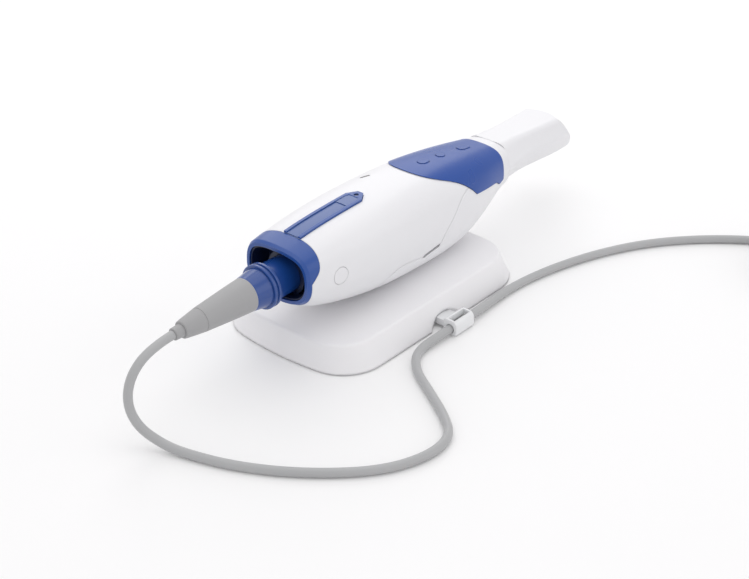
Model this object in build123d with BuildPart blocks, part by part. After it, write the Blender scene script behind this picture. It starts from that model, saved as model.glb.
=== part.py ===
# Intraoral scanner resting on its weighted stand, with its cord.
# Millimetres, +Z up, +X from the cord end towards the scanning tip. The origin is the
# centre of the stand on the surface that it stands on.

import os
from math import atan2, cos, pi, radians, sin, tan

from build123d import *

os.makedirs("parts", exist_ok=True)

# Stand: a drafted, weighted block with bowed ends
stand_length = 132.4
stand_width = 82.0
stand_height = 12.4
stand_corner_radius = 20.9
stand_end_bow = 5.6
stand_draft_ends = 4.8
stand_draft_sides = 6.1
stand_top_bow = 1.9
stand_edge_radius = 1.3
stand_wall = 2.8
stand_floor_gap = 0.6
base_plate_setback = 0.5
base_plate_thickness = 1.6
ballast_thickness = 4.0
ballast_margin = 9.0
mat_length = 104.0
mat_width = 46.0
mat_corner = 8.0
mat_thickness = 1.6
stand_screw_radius = 1.25
stand_boss_radius = 3.0
stand_screw_spacing = (74.4, 54.0)

# Cable clip on the stand's side
clip_x = 3.0
clip_length = 13.0
clip_width = 7.2
clip_height = 7.2
clip_lift = 0.4
clip_wall_below = 0.6
clip_cord_y = -47.3
clip_neck_length = 9.0
clip_neck_height = 3.0
clip_window_width = 2.6
clip_bridge = 1.5
clip_clearance = 0.25
scoop_radius = 16.0
scoop_centre_y = -52.5

# Handle: a lofted pod that lies on the stand
handle_length = 146.5
handle_width = 46.6
handle_height = 46.6
tail_x = -62.5
cradle_depth = 1.2
shell_wall = 2.2
side_reach = 40.0
skin_gap = 0.15
seam_gap = 0.12
seat_gap = 0.25

# Rear collar, its open recess and the socket in it
collar_rim = 1.5
collar_reach = 8.5
collar_lobe_drop = 9.0
recess_depth = 11.5
bulkhead_thickness = 2.4
cable_axis_height = 27.1
bay_setback = 0.8
bay_wall = 0.6
plug_radius = 8.5
plug_clearance = 0.08
socket_wall = 2.0
socket_length = 6.0
contact_radius = 0.6
contact_circle = 5.0
contact_count = 8
contact_length = 3.0

# Blue saddle with its three keys
saddle_front_setback = 6.2
saddle_length = 56.5
saddle_side_drop = 16.6
saddle_proud = 0.35
saddle_skin = 1.8
key_travel = 0.5
key_proud = 0.25
key_clearance = 0.12
key_setbacks = (49.5, 37.0, 19.4)
key_lengths = (6.4, 4.6, 8.0)
key_width = 4.4
key_board_width = 11.0
key_board_thickness = 1.2
switch_size = 3.4
switch_height = 1.8
key_gap = 0.3
key_flange_gap = 0.1
key_flange_thickness = 1.0
key_flange_rim = 1.0

# Spine strip on the handle's top
spine_width = 9.6
spine_length = 44.5
spine_proud = 0.9
spine_rim = 1.5
spine_inlay_drop = 0.5
spine_front_inlay = 13.0
status_window_radius = 1.1
window_bridge = 0.6
spine_seat_depth = 0.9
inlay_thickness = 0.9
sensor_length = 4.6
sensor_width = 1.1
sensor_turn = -28
sensor_ahead = 15.0
sensor_side = 10.6
sensor_depth = 1.4

# Vent in the seam, on both flanks
vent_length = 12.6
vent_width = 1.9
vent_tilt = 7
vent_behind = 6.6
vent_drop = 1.2

# Scanning tip and the optical snout that it slides on
tip_length = 61.5
tip_wall = 1.5
tip_clearance = 0.25
tip_half_width = 12.0
tip_top_drop = 1.2
tip_height = 20.6
tip_window_length = 16.0
tip_window_width = 12.5
tip_end_round = 12.0
tip_end_wall = 4.7
tip_mirror_thickness = 1.2
mirror_setback = 17.0
mirror_width = 15.0
mirror_height = 12.0
mirror_shift = -4.6
guide_length = 4.0
snout_length = 26.0
snout_width = 17.0
snout_height = 13.5
snout_wall = 1.6
snout_corner = 3.0
snout_root = 14.0
snout_flange = 1.5
snout_axis_height = 28.3
end_wall = 2.0
snout_clearance = 0.08
lens_thickness = 2.5
lens_radius = 4.6
lens_collar = 1.6

# Inside the handle
chassis_width = 16.0
chassis_thickness = 3.0
chassis_length = 96.0
board_width = 22.0
board_length = 64.0
board_thickness = 1.6
board_lift = 5.0
post_radius = 1.8
processor_size = 14.0
memory_size = (9.0, 6.0)
connector_size = (8.0, 13.0)
chip_height = 1.2
connector_height = 3.4
optics_length = 30.0
optics_setback = 26.0
optics_width = 22.0
optics_height = 15.0
sink_fins = 7
sink_fin_thickness = 1.0
sink_base_thickness = 1.6
sink_fin_height = 7.0
sink_length = 34.0
case_plug_radius = 3.9
case_plug_setback = 16.5
case_plug_rise = 28.0
case_plug_depth = 0.6
screw_head_depth = 1.0
screw_head_thickness = 0.45
case_screw_radius = 1.2
case_screw_length = 6.0
frame_thickness = 5.0

# Cord set
ring_radius = 10.2
ring_setback = 7.2
ring_width = 3.9
ring_seat_radius = 8.0
band_radius = 9.0
band_length = 7.9
cone_length = 26.4
cone_tail_length = 10.2
sleeve_length = 4.4
cone_front_radius = 7.7
cone_mid_radius = 5.5
cone_end_radius = 3.9
sleeve_radius = 2.7
cord_radius = 2.0
coil_radius = 23.0
coil_columns = 3
coil_layers = 3
coil_pitch = 4.15
coil_lift = 0.9
tie_gap = 0.05
tie_thickness = 0.8
tie_width = 12.0
far_grip_width = 15.5
far_grip_height = 8.0
far_grip_length = 24.0
far_boot_length = 8.0
far_shell_width = 12.0
far_shell_height = 4.5
far_shell_length = 13.0
far_shell_wall = 0.4

# Places that follow from the sizes above
nose_x = tail_x + handle_length
belly_z = stand_height - cradle_depth
collar_back_x = tail_x - collar_rim
saddle_front_x = nose_x - saddle_front_setback
saddle_rear_x = saddle_front_x - saddle_length
cable_axis_z = belly_z + cable_axis_height
snout_axis_z = belly_z + snout_axis_height
case_plug_height = belly_z + case_plug_rise
optics_neck = optics_setback - snout_root

# The handle's form: share of length, of half width, of height at the top and at the belly
handle_form = (
    (0.000, 0.800, 0.905, 0.330),
    (0.085, 0.875, 0.942, 0.212),
    (0.205, 0.955, 0.972, 0.118),
    (0.350, 1.000, 0.990, 0.050),
    (0.490, 0.975, 1.000, 0.014),
    (0.630, 0.935, 0.988, 0.000),
    (0.755, 0.875, 0.950, 0.042),
    (0.870, 0.760, 0.903, 0.180),
    (0.945, 0.655, 0.868, 0.290),
    (1.000, 0.600, 0.852, 0.336),
)
# How square each quarter of a section is: 0.55 is an ellipse, 1 a rectangle
shoulder_fullness = 0.80
belly_fullness = 0.66


def handle_size(x):
    """Half width, top and belly height of the handle's form at a place along X."""
    share = (x - tail_x) / handle_length
    rows = handle_form
    i = max(0, min(len(rows) - 2, sum(1 for row in rows if row[0] <= share) - 1))
    t = (share - rows[i][0]) / (rows[i + 1][0] - rows[i][0])
    width, top, belly = (a + (b - a) * t for a, b in zip(rows[i][1:], rows[i + 1][1:]))
    return width * handle_width / 2, belly_z + top * handle_height, belly_z + belly * handle_height


def section_outline(width, top, belly, grow):
    """One closed section of the handle, flat, of four Bezier quarters, grown all round."""
    half = width * handle_width / 2 + grow
    high = belly_z + top * handle_height + grow
    low = belly_z + belly * handle_height - grow
    middle = (high + low) / 2
    up = high - middle
    down = middle - low
    with BuildSketch(mode=Mode.PRIVATE) as section:
        with BuildLine():
            for side in (1, -1):
                Bezier(
                    (side * half, middle),
                    (side * half, middle + up * shoulder_fullness),
                    (side * half * shoulder_fullness, high),
                    (0, high),
                )
                Bezier(
                    (side * half, middle),
                    (side * half, middle - down * belly_fullness),
                    (side * half * belly_fullness, low),
                    (0, low),
                )
        make_face()
    return section.sketch


def handle_section(share, width, top, belly, grow):
    """A section of the handle at its place along X."""
    return Plane.YZ.offset(tail_x + share * handle_length) * section_outline(width, top, belly, grow)


def handle_form_solid(grow):
    """The handle's form as one closed solid, grown by an amount or, if negative, shrunk."""
    sections = [handle_section(*row, grow) for row in handle_form]
    with BuildPart(mode=Mode.PRIVATE) as form:
        loft(sections=[section.face() for section in sections])
    return form.part


def side_prism(outline):
    """A side view outline, drawn in X and Z, made as wide as the handle on both sides."""
    with BuildPart(mode=Mode.PRIVATE) as prism:
        with BuildSketch(Plane.XZ):
            add(outline)
        extrude(amount=handle_width, both=True)
    return prism.part


def box_between(low, high):
    """A box given by two opposite corners."""
    size = [b - a for a, b in zip(low, high)]
    centre = [(a + b) / 2 for a, b in zip(low, high)]
    return Pos(*centre) * Box(*size, mode=Mode.PRIVATE)


def ball(centre, radius):
    """A ball at a place."""
    return Pos(*centre) * Sphere(radius, mode=Mode.PRIVATE)


def stand_outline(length, width, bow, corner):
    """The stand's outline: straight sides, ends bowed outwards, rounded corners."""
    half_x = length / 2 - bow
    half_y = width / 2
    with BuildSketch(mode=Mode.PRIVATE) as sketch:
        with BuildLine():
            Line((-half_x, -half_y), (half_x, -half_y))
            ThreePointArc((half_x, -half_y), (length / 2, 0), (half_x, half_y))
            Line((half_x, half_y), (-half_x, half_y))
            ThreePointArc((-half_x, half_y), (-length / 2, 0), (-half_x, -half_y))
        make_face()
        fillet(sketch.vertices(), radius=corner)
    return sketch.sketch


def stand_block(inset, low, high):
    """The stand's drafted block between two heights, with its sides set in by an amount."""
    sections = []
    for z in (low, high):
        share = z / stand_height
        length = stand_length - 2 * (inset + stand_draft_ends * share)
        width = stand_width - 2 * (inset + stand_draft_sides * share)
        bow = stand_end_bow + (stand_top_bow - stand_end_bow) * share
        corner = max(stand_corner_radius - inset - stand_draft_ends * 0.75 * share, 2.0)
        sections.append(Plane.XY.offset(z) * stand_outline(length, width, bow, corner))
    with BuildPart(mode=Mode.PRIVATE) as block:
        loft(sections=[section.face() for section in sections], ruled=True)
    return block.part


finished = []


def save(builder, label):
    """Label a finished piece and write it to its own file."""
    builder.part.label = label
    export_step(builder.part, f"parts/{label}.step")
    finished.append(label)


# Solids that several pieces are cut from
form = handle_form_solid(0)
form_inside = handle_form_solid(-shell_wall)

# Side view outlines that split the handle into collar, saddle, nose and main shell
saddle_low_x = saddle_rear_x + 0.515 * saddle_length
saddle_low_z = handle_size(saddle_rear_x)[1] - saddle_side_drop
above = belly_z + handle_height + 12


def saddle_outline():
    """Side view of the saddle: a long curve down the flank, a straight hem and a small tab."""
    tab_x = saddle_front_x - 4.0
    with BuildSketch(mode=Mode.PRIVATE) as sketch:
        with BuildLine():
            hem = Polyline(
                (saddle_low_x, saddle_low_z),
                (tab_x - 4.0, saddle_low_z - 2.4),
                (tab_x, saddle_low_z - 5.0),
                (saddle_front_x, saddle_low_z - 4.2),
                (saddle_front_x, above),
                (saddle_rear_x - 6, above),
                (saddle_rear_x - 6, saddle_low_z + saddle_side_drop + 2.6),
            )
            Spline(
                hem @ 1,
                (saddle_rear_x + 0.13 * saddle_length, saddle_low_z + 0.84 * saddle_side_drop),
                (saddle_rear_x + 0.28 * saddle_length, saddle_low_z + 0.62 * saddle_side_drop),
                (saddle_rear_x + 0.39 * saddle_length, saddle_low_z + 0.38 * saddle_side_drop),
                hem @ 0,
            )
        make_face()
    return sketch.sketch


def collar_outline():
    """Side view of the collar: a band over the top with a rounded lobe down each flank."""
    top_z = handle_size(tail_x)[1]
    lobe_z = top_z - collar_lobe_drop
    with BuildSketch(mode=Mode.PRIVATE) as sketch:
        with BuildLine():
            rim = Polyline(
                (tail_x + 0.5, lobe_z - 3.5),
                (tail_x + 0.5, -5),
                (collar_back_x - 5, -5),
                (collar_back_x - 5, above),
                (tail_x + collar_reach, above),
                (tail_x + collar_reach, top_z + 1.0),
            )
            Spline(
                rim @ 1,
                (tail_x + 0.78 * collar_reach, top_z - 3.0),
                (tail_x + 0.58 * collar_reach, lobe_z + 1.2),
                (tail_x + 0.28 * collar_reach, lobe_z - 1.6),
                rim @ 0,
            )
        make_face()
    return sketch.sketch


seam_top_x = saddle_low_x - 6.5
seam_top_z = saddle_low_z + 5.2
seam_turn_x = saddle_rear_x + 0.5
seam_turn_z = belly_z + 15.8
seam_end_x = saddle_rear_x - 46


def nose_outline():
    """Side view of the nose shell: ahead of the seam, with a chin that runs back below."""
    with BuildSketch(mode=Mode.PRIVATE) as sketch:
        with BuildLine():
            front = Polyline(
                (seam_end_x, -5),
                (nose_x + 10, -5),
                (nose_x + 10, above),
                (seam_top_x + 4, above),
                (seam_top_x, seam_top_z),
            )
            flank = Spline(
                front @ 1,
                (seam_top_x - 6.5, seam_top_z - 2.6),
                (seam_turn_x + 9.5, seam_turn_z + 10.4),
                (seam_turn_x + 3.6, seam_turn_z + 5.2),
                (seam_turn_x, seam_turn_z),
            )
            chin = Spline(
                flank @ 1,
                (seam_turn_x - 12.5, seam_turn_z - 1.7),
                (seam_turn_x - 31.0, seam_turn_z + 0.5),
                (seam_end_x + 4, seam_turn_z - 6.5),
                (seam_end_x, seam_turn_z - 12),
            )
            Line(chin @ 1, front @ 0)
        make_face()
    return sketch.sketch


# Each region, and the same region moved by the seam's gap towards its neighbours
saddle_region = side_prism(saddle_outline())
saddle_hole = [Pos(shift, 0, -skin_gap) * saddle_region for shift in (-skin_gap, skin_gap)]
collar_region = side_prism(collar_outline())
collar_hole = Pos(seam_gap, 0, -seam_gap) * collar_region
nose_region = side_prism(nose_outline())
nose_hole = Pos(-seam_gap, 0, seam_gap) * nose_region
saddle_skin_form = handle_form_solid(saddle_proud)
saddle_under_form = handle_form_solid(-saddle_skin)


def at_corners(half_x, half_y):
    """Four places at the corners of a rectangle."""
    return [(x, y) for x in (-half_x, half_x) for y in (-half_y, half_y)]


screw_places = at_corners(*[spacing / 2 for spacing in stand_screw_spacing])
plate_top = stand_floor_gap + base_plate_thickness
cavity_top = stand_height - stand_wall
scoop_centre = (clip_x, scoop_centre_y, 0)
clip_axis_z = clip_lift + clip_wall_below + cord_radius + clip_clearance
neck_low = clip_axis_z - clip_neck_height / 2
neck_inner_y = scoop_centre_y + scoop_radius + stand_wall - 0.6
cradle_form = handle_form_solid(seat_gap)

# Stand shell: hollow, with a cradle that takes the belly and a scoop behind the clip
with BuildPart() as stand_shell:
    add(stand_block(0, stand_floor_gap, stand_height))
    fillet(faces().sort_by(Axis.Z)[-1].edges(), radius=stand_edge_radius)
    add(stand_block(stand_wall, 0, cavity_top), mode=Mode.SUBTRACT)
    with BuildSketch(Plane.XY.offset(plate_top)):
        with Locations(*screw_places):
            Circle(stand_boss_radius)
    extrude(amount=cavity_top - plate_top)
    with BuildSketch(Plane.XY.offset(plate_top)):
        with Locations(*screw_places):
            Circle(stand_screw_radius)
    extrude(amount=cavity_top - plate_top - 1, mode=Mode.SUBTRACT)
    add(ball(scoop_centre, scoop_radius + stand_wall) & stand_block(0, stand_floor_gap, cavity_top))
    add(ball(scoop_centre, scoop_radius), mode=Mode.SUBTRACT)
    add(
        box_between(
            (clip_x - clip_neck_length / 2 - skin_gap, -stand_width, neck_low - skin_gap),
            (
                clip_x + clip_neck_length / 2 + skin_gap,
                neck_inner_y + 1,
                neck_low + clip_neck_height + skin_gap,
            ),
        ),
        mode=Mode.SUBTRACT,
    )
    add(cradle_form, mode=Mode.SUBTRACT)
save(stand_shell, "stand_shell")

# Base plate that closes the stand, with a pocket for the mat
scoop_keepout = ball(scoop_centre, scoop_radius + stand_wall + seat_gap)
with BuildPart() as base_plate:
    add(stand_block(stand_wall + base_plate_setback, stand_floor_gap, plate_top))
    with BuildSketch(Plane.XY.offset(stand_floor_gap)):
        RectangleRounded(mat_length + 2 * skin_gap, mat_width + 2 * skin_gap, mat_corner + skin_gap)
    extrude(amount=mat_thickness - stand_floor_gap, mode=Mode.SUBTRACT)
    with BuildSketch(Plane.XY.offset(stand_floor_gap)):
        with Locations(*screw_places):
            Circle(stand_screw_radius + skin_gap)
    extrude(amount=base_plate_thickness, mode=Mode.SUBTRACT)
    add(scoop_keepout, mode=Mode.SUBTRACT)
save(base_plate, "stand_base_plate")

# Soft mat that the stand rests on
with BuildPart() as stand_mat:
    with BuildSketch():
        RectangleRounded(mat_length, mat_width, mat_corner)
    extrude(amount=mat_thickness)
save(stand_mat, "stand_mat")

with BuildPart() as stand_screws:
    with BuildSketch(Plane.XY.offset(stand_floor_gap + 0.1)):
        with Locations(*screw_places):
            Circle(stand_screw_radius)
    extrude(amount=cavity_top - stand_floor_gap - 1.6)
save(stand_screws, "stand_screws")

# Steel plate that gives the stand its weight
with BuildPart() as ballast:
    with BuildSketch(Plane.XY.offset(plate_top)):
        RectangleRounded(
            stand_length - 2 * (stand_draft_ends + stand_wall + ballast_margin),
            stand_width - 2 * (stand_draft_sides + stand_wall + ballast_margin) + 8,
            6,
        )
        with Locations(*screw_places):
            Circle(stand_boss_radius + 0.6, mode=Mode.SUBTRACT)
    extrude(amount=ballast_thickness)
    add(scoop_keepout, mode=Mode.SUBTRACT)
save(ballast, "stand_ballast")

# Cable clip: a short tunnel with a window on top, plugged into the stand by its neck
clip_low_y = clip_cord_y - clip_width / 2
clip_high_y = clip_cord_y + clip_width / 2
with BuildPart() as cable_clip:
    with BuildSketch(Plane.YZ.offset(clip_x - clip_length / 2)):
        with BuildLine():
            Polyline(
                (clip_low_y, clip_lift),
                (clip_high_y, clip_lift),
                (clip_high_y, clip_lift + clip_height),
                (clip_low_y + clip_width * 0.45, clip_lift + clip_height),
                (clip_low_y, clip_lift + clip_height * 0.68),
                close=True,
            )
        make_face()
    extrude(amount=clip_length)
    fillet(edges().filter_by(Axis.X), radius=0.6)
    add(
        box_between(
            (clip_x - clip_neck_length / 2, clip_high_y - 0.8, neck_low),
            (clip_x + clip_neck_length / 2, neck_inner_y, neck_low + clip_neck_height),
        ),
    )
    with BuildSketch(Plane.YZ.offset(clip_x - clip_length / 2)):
        with Locations((clip_cord_y, clip_axis_z)):
            Circle(cord_radius + clip_clearance)
    extrude(amount=clip_length, mode=Mode.SUBTRACT)
    add(
        box_between(
            (clip_x - clip_length / 2 + clip_bridge, clip_cord_y - clip_window_width / 2, clip_axis_z),
            (
                clip_x + clip_length / 2 - clip_bridge,
                clip_cord_y + clip_window_width / 2,
                clip_height + clip_lift + 1,
            ),
        ),
        mode=Mode.SUBTRACT,
    )
save(cable_clip, "cable_clip")

# Places on the handle's skin: side plugs, shoulder slot, spine strip and vents
plug_x = tail_x + case_plug_setback
spine_front_x = tail_x + collar_reach + spine_length
slot_x = spine_front_x + sensor_ahead


def top_prism(outline):
    """A plan view outline made into a prism from the handle's middle up."""
    with BuildPart(mode=Mode.PRIVATE) as prism:
        with BuildSketch(Plane.XY.offset(belly_z + handle_height * 0.75)):
            add(outline)
        extrude(amount=handle_height)
    return prism.part


def spine_plan(inset, front_x):
    """Plan of the spine strip: a bar with a chamfered front end."""
    half = spine_width / 2 - inset
    with BuildSketch(mode=Mode.PRIVATE) as sketch:
        with BuildLine():
            Polyline(
                (tail_x + collar_reach + skin_gap, -half),
                (front_x - spine_width / 2 - inset, -half),
                (front_x - inset, -half * 0.32),
                (front_x - inset, half * 0.32),
                (front_x - spine_width / 2 - inset, half),
                (tail_x + collar_reach + skin_gap, half),
                close=True,
            )
        make_face()
    return sketch.sketch


def slot_plan(grow):
    """Plan of the small sensor slot on the left shoulder."""
    with BuildSketch(mode=Mode.PRIVATE) as sketch:
        with Locations(Location((slot_x, sensor_side), sensor_turn)):
            SlotOverall(sensor_length + 2 * grow, sensor_width + 2 * grow)
    return sketch.sketch


def side_plug_prism(radius):
    """A bar across the handle at the place of the two side plugs."""
    with BuildPart(mode=Mode.PRIVATE) as bar:
        with BuildSketch(Plane.XZ):
            with Locations((plug_x, case_plug_height)):
                Circle(radius)
        extrude(amount=handle_width, both=True)
    return bar.part


def vent_prism():
    """The long vent in the seam on both flanks."""
    with BuildPart(mode=Mode.PRIVATE) as bar:
        with BuildSketch(Plane.XZ):
            with Locations(Location((seam_turn_x - vent_behind, seam_turn_z - vent_drop), vent_tilt)):
                SlotOverall(vent_length, vent_width)
        extrude(amount=handle_width, both=True)
    return bar.part


vents = vent_prism()
strip_base_form = handle_form_solid(-spine_seat_depth)
screw_seat_form = handle_form_solid(-case_plug_depth - screw_head_depth)
shell = form - form_inside

# Main shell of the handle
with BuildPart() as main_shell:
    add(shell)
    add(saddle_hole, mode=Mode.SUBTRACT)
    add(collar_hole, mode=Mode.SUBTRACT)
    add(nose_hole, mode=Mode.SUBTRACT)
    add(vents, mode=Mode.SUBTRACT)
    add(side_plug_prism(case_plug_radius + skin_gap) - screw_seat_form, mode=Mode.SUBTRACT)
    add(side_plug_prism(case_screw_radius + skin_gap), mode=Mode.SUBTRACT)
    add(top_prism(slot_plan(skin_gap)), mode=Mode.SUBTRACT)
    add(top_prism(spine_plan(-skin_gap, spine_front_x)) - strip_base_form, mode=Mode.SUBTRACT)
save(main_shell, "main_shell")

# Nose shell: chin, flanks and the ring ahead of the saddle, with an end wall


def snout_plan(grow):
    """Section of the snout, a rectangle with cut corners, in Y and Z."""
    with BuildSketch(mode=Mode.PRIVATE) as sketch:
        Rectangle(snout_width + 2 * grow, snout_height + 2 * grow)
        chamfer(sketch.vertices(), length=snout_corner)
    return Pos(0, snout_axis_z) * sketch.sketch


with BuildPart() as nose_shell:
    add(shell & nose_region)
    add(form & box_between((nose_x - end_wall, -side_reach, 0), (nose_x, side_reach, above)))
    add(saddle_hole, mode=Mode.SUBTRACT)
    add(vents, mode=Mode.SUBTRACT)
    with BuildSketch(Plane.YZ.offset(nose_x - end_wall)):
        add(snout_plan(skin_gap))
    extrude(amount=end_wall, mode=Mode.SUBTRACT)
save(nose_shell, "nose_shell")

# Saddle: a soft skin over the top of the nose, holed for its three keys
key_places = [nose_x - setback for setback in key_setbacks]


def key_prism(x, length, width):
    """An oval bar that stands upright at a key's place."""
    with BuildPart(mode=Mode.PRIVATE) as bar:
        with BuildSketch(Plane.XY.offset(belly_z + handle_height * 0.6)):
            with Locations((x, 0)):
                SlotOverall(length, width)
        extrude(amount=handle_height)
    return bar.part


with BuildPart() as saddle:
    add((saddle_skin_form - saddle_under_form) & saddle_region)
    for x, length in zip(key_places, key_lengths):
        add(key_prism(x, length + 2 * key_clearance, key_width + 2 * key_clearance), mode=Mode.SUBTRACT)
save(saddle, "saddle")

# Keys: a domed cap and a flange that holds each one under the saddle
key_top_form = handle_form_solid(saddle_proud + key_proud)
flange_top_form = handle_form_solid(-saddle_skin - key_flange_gap)
key_low_form = handle_form_solid(-saddle_skin - key_flange_gap - key_flange_thickness)
key_names = ("rear_key", "middle_key", "front_key")
for name, x, length in zip(key_names, key_places, key_lengths):
    with BuildPart() as key:
        add((key_top_form - key_low_form) & key_prism(x, length, key_width))
        flange = key_prism(x, length + 2 * key_flange_rim, key_width + 2 * key_flange_rim)
        add((flange_top_form - key_low_form) & flange)
    save(key, name)

# Key board: it lies under the saddle, parallel to the line through the outer keys
first_top = handle_size(key_places[0])[1]
last_top = handle_size(key_places[-1])[1]
key_slope = atan2(last_top - first_top, key_places[-1] - key_places[0])
board_depth = saddle_skin + key_flange_gap + key_flange_thickness + key_travel + switch_height + key_gap
middle_x = (key_places[0] + key_places[-1]) / 2
middle_top = (first_top + last_top) / 2
key_plane = Plane(
    origin=(middle_x, 0, middle_top - board_depth),
    x_dir=(cos(key_slope), 0, sin(key_slope)),
    z_dir=(-sin(key_slope), 0, cos(key_slope)),
)
key_board_length = key_places[-1] - key_places[0] + 9
with BuildPart() as key_board:
    with BuildSketch(key_plane):
        RectangleRounded(key_board_length, key_board_width, 1.5)
    extrude(amount=-key_board_thickness)
save(key_board, "key_board")

with BuildPart() as key_switches:
    with BuildSketch(key_plane):
        with Locations(*[((x - middle_x) / cos(key_slope), 0) for x in key_places]):
            Rectangle(switch_size, switch_size)
    extrude(amount=switch_height * 0.7)
    with BuildSketch(key_plane.offset(switch_height * 0.7)):
        with Locations(*[((x - middle_x) / cos(key_slope), 0) for x in key_places]):
            Circle(switch_size * 0.28)
    extrude(amount=switch_height * 0.3)
save(key_switches, "key_switches")

# Rear collar: rim, band and lobes round the open recess
with BuildPart() as rear_collar:
    add(form & collar_region)
    loft(
        sections=[
            handle_section(*handle_form[0], 0).face(),
            (Pos(-collar_rim, 0, 0) * handle_section(*handle_form[0], -collar_rim * 0.55)).face(),
        ],
    )
    with BuildSketch(Plane.YZ.offset(collar_back_x - 1)):
        add(section_outline(*handle_form[0][1:], -shell_wall - skin_gap))
    extrude(amount=recess_depth + 20, mode=Mode.SUBTRACT)
save(rear_collar, "rear_collar")

# Socket bay: the dark cup that lines the recess, with a round socket on its floor
bay_back_x = collar_back_x + bay_setback
bay_floor_x = collar_back_x + recess_depth
with BuildPart() as socket_bay:
    with BuildSketch(Plane.YZ.offset(bay_back_x)):
        add(section_outline(*handle_form[0][1:], -shell_wall - 2 * skin_gap))
    extrude(amount=bay_floor_x + bulkhead_thickness - bay_back_x)
    with BuildSketch(Plane.YZ.offset(bay_back_x)):
        add(section_outline(*handle_form[0][1:], -shell_wall - 2 * skin_gap - bay_wall))
    extrude(amount=bay_floor_x - bay_back_x, mode=Mode.SUBTRACT)
    with BuildSketch(Plane.YZ.offset(bay_floor_x - socket_length)):
        with Locations((0, cable_axis_z)):
            Circle(plug_radius + plug_clearance + socket_wall)
    extrude(amount=socket_length)
    with BuildSketch(Plane.YZ.offset(bay_floor_x - socket_length)):
        with Locations((0, cable_axis_z)):
            Circle(plug_radius + plug_clearance)
    extrude(amount=socket_length, mode=Mode.SUBTRACT)
save(socket_bay, "socket_bay")

with BuildPart() as socket_contacts:
    with BuildSketch(Plane.YZ.offset(bay_floor_x)):
        with Locations((0, cable_axis_z)):
            with PolarLocations(contact_circle, contact_count):
                Circle(contact_radius)
    extrude(amount=-contact_length)
save(socket_contacts, "socket_contacts")

# Spine strip: a raised frame on the handle's top with two set-in panels and a light window
inlay_step_x = spine_front_x - spine_front_inlay
strip_top_form = handle_form_solid(spine_proud)
inlay_top_form = handle_form_solid(spine_proud - spine_inlay_drop)
inlay_base_form = handle_form_solid(spine_proud - spine_inlay_drop - inlay_thickness)
front_inlay_top_form = handle_form_solid(spine_proud - spine_inlay_drop * 0.4)
window_x = spine_front_x - spine_rim - status_window_radius - 0.4


def window_prism(radius):
    """An upright bar at the place of the status window."""
    with BuildPart(mode=Mode.PRIVATE) as bar:
        with BuildSketch(Plane.XY.offset(belly_z + handle_height * 0.75)):
            with Locations((window_x, 0)):
                Circle(radius)
        extrude(amount=handle_height)
    return bar.part


inlay_prism = top_prism(spine_plan(spine_rim, spine_front_x))
rear_half = box_between((tail_x, -side_reach, 0), (inlay_step_x, side_reach, above + side_reach))
front_half = box_between(
    (inlay_step_x, -side_reach, 0),
    (window_x - status_window_radius - window_bridge, side_reach, above + side_reach),
)
with BuildPart() as spine_strip:
    add((strip_top_form - strip_base_form) & top_prism(spine_plan(0, spine_front_x)))
    add((inlay_prism & rear_half) - inlay_base_form, mode=Mode.SUBTRACT)
    add((inlay_prism & front_half) - inlay_base_form, mode=Mode.SUBTRACT)
    add(window_prism(status_window_radius + 0.05) - inlay_base_form, mode=Mode.SUBTRACT)
save(spine_strip, "spine_strip")

with BuildPart() as spine_panel_rear:
    add((inlay_top_form - inlay_base_form) & inlay_prism & rear_half)
save(spine_panel_rear, "spine_panel_rear")

with BuildPart() as spine_panel_front:
    add((front_inlay_top_form - inlay_base_form) & inlay_prism & front_half)
save(spine_panel_front, "spine_panel_front")

with BuildPart() as status_window:
    add((inlay_top_form - inlay_base_form) & window_prism(status_window_radius))
save(status_window, "status_window")

with BuildPart() as shoulder_sensor:
    add((form - handle_form_solid(-sensor_depth)) & top_prism(slot_plan(0)))
save(shoulder_sensor, "shoulder_sensor")

# Side plugs, flush with the flanks, over the case screws
with BuildPart() as side_plugs:
    add((form - handle_form_solid(-case_plug_depth)) & side_plug_prism(case_plug_radius))
save(side_plugs, "side_plugs")

# Chassis: a flat rail from the socket bay to the optics, with a frame for the case screws
chassis_top = snout_axis_z - optics_height / 2
chassis_rear_x = bay_floor_x + bulkhead_thickness
frame_form = handle_form_solid(-shell_wall - seat_gap)
flank_y = handle_size(plug_x)[0]
head_y = flank_y - case_plug_depth - screw_head_depth + seat_gap
with BuildPart() as chassis:
    with BuildSketch(Plane.XY.offset(chassis_top)):
        with Locations((chassis_rear_x + chassis_length / 2, 0)):
            Rectangle(chassis_length, chassis_width)
            with GridLocations(chassis_length / 5, 0, 4, 1):
                Circle(2.2, mode=Mode.SUBTRACT)
    extrude(amount=-chassis_thickness)
    add(
        box_between(
            (plug_x - frame_thickness / 2, -side_reach, chassis_top - chassis_thickness),
            (plug_x + frame_thickness / 2, side_reach, case_plug_height + 4),
        )
        & frame_form,
    )
    add(
        box_between(
            (plug_x - frame_thickness, -chassis_width / 2 - 2, chassis_top),
            (plug_x + frame_thickness, chassis_width / 2 + 2, case_plug_height + 5),
        ),
        mode=Mode.SUBTRACT,
    )
    add(side_plug_prism(case_screw_radius), mode=Mode.SUBTRACT)
save(chassis, "chassis")

with BuildPart() as case_screws:
    for side in (-1, 1):
        with BuildSketch(Plane.XZ.offset(-side * head_y)):
            with Locations((plug_x, case_plug_height)):
                Circle(case_screw_radius)
        extrude(amount=side * case_screw_length)
        with BuildSketch(Plane.XZ.offset(-side * head_y)):
            with Locations((plug_x, case_plug_height)):
                Circle(case_screw_radius * 1.8)
        extrude(amount=-side * screw_head_thickness)
save(case_screws, "case_screws")

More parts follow.
